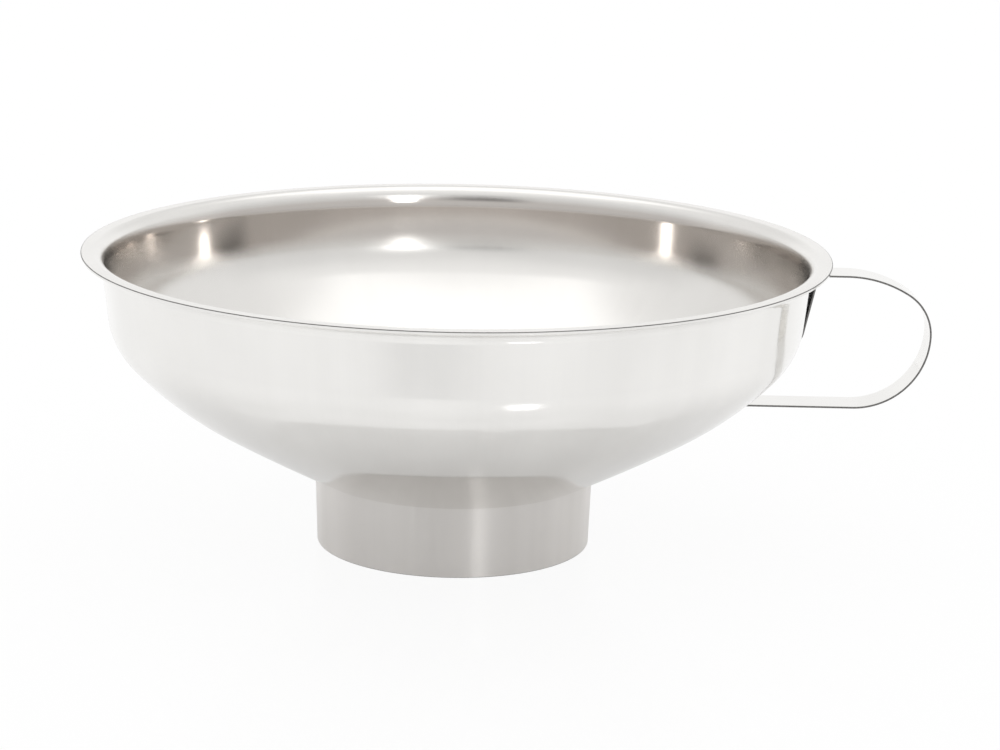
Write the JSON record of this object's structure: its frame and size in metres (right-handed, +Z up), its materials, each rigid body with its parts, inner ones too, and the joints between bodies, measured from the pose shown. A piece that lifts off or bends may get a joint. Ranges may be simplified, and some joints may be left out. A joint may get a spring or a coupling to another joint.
{
  "type": "canning funnel",
  "caption": "Wide canning funnel: a drawn steel bowl with a flared rim, a short tapered neck that drops into a jar mouth, and a bent strap handle.",
  "frame": {"origin": "on the funnel's axis, in the plane of the neck's foot", "axes": "+Z up along the funnel's axis, from the neck to the rim; +X from the axis to the handle"},
  "size_m": [0.166, 0.146, 0.0588],
  "materials": {
    "bowl_steel": "mirror polished stainless steel, slightly soft",
    "neck_steel": "polished stainless steel",
    "strap_steel": "polished stainless steel strip with plain cut edges",
    "weld_steel": "bare weld metal"
  },
  "bodies": {
    "root": {"funnel_bowl": "bowl_steel", "neck_collar": "neck_steel", "neck_weld_bead": "weld_steel", "strap_handle": "strap_steel", "upper_spot_weld_left": "weld_steel", "upper_spot_weld_right": "weld_steel", "lower_spot_weld_left": "weld_steel", "lower_spot_weld_right": "weld_steel"}
  },
  "joints": []
}
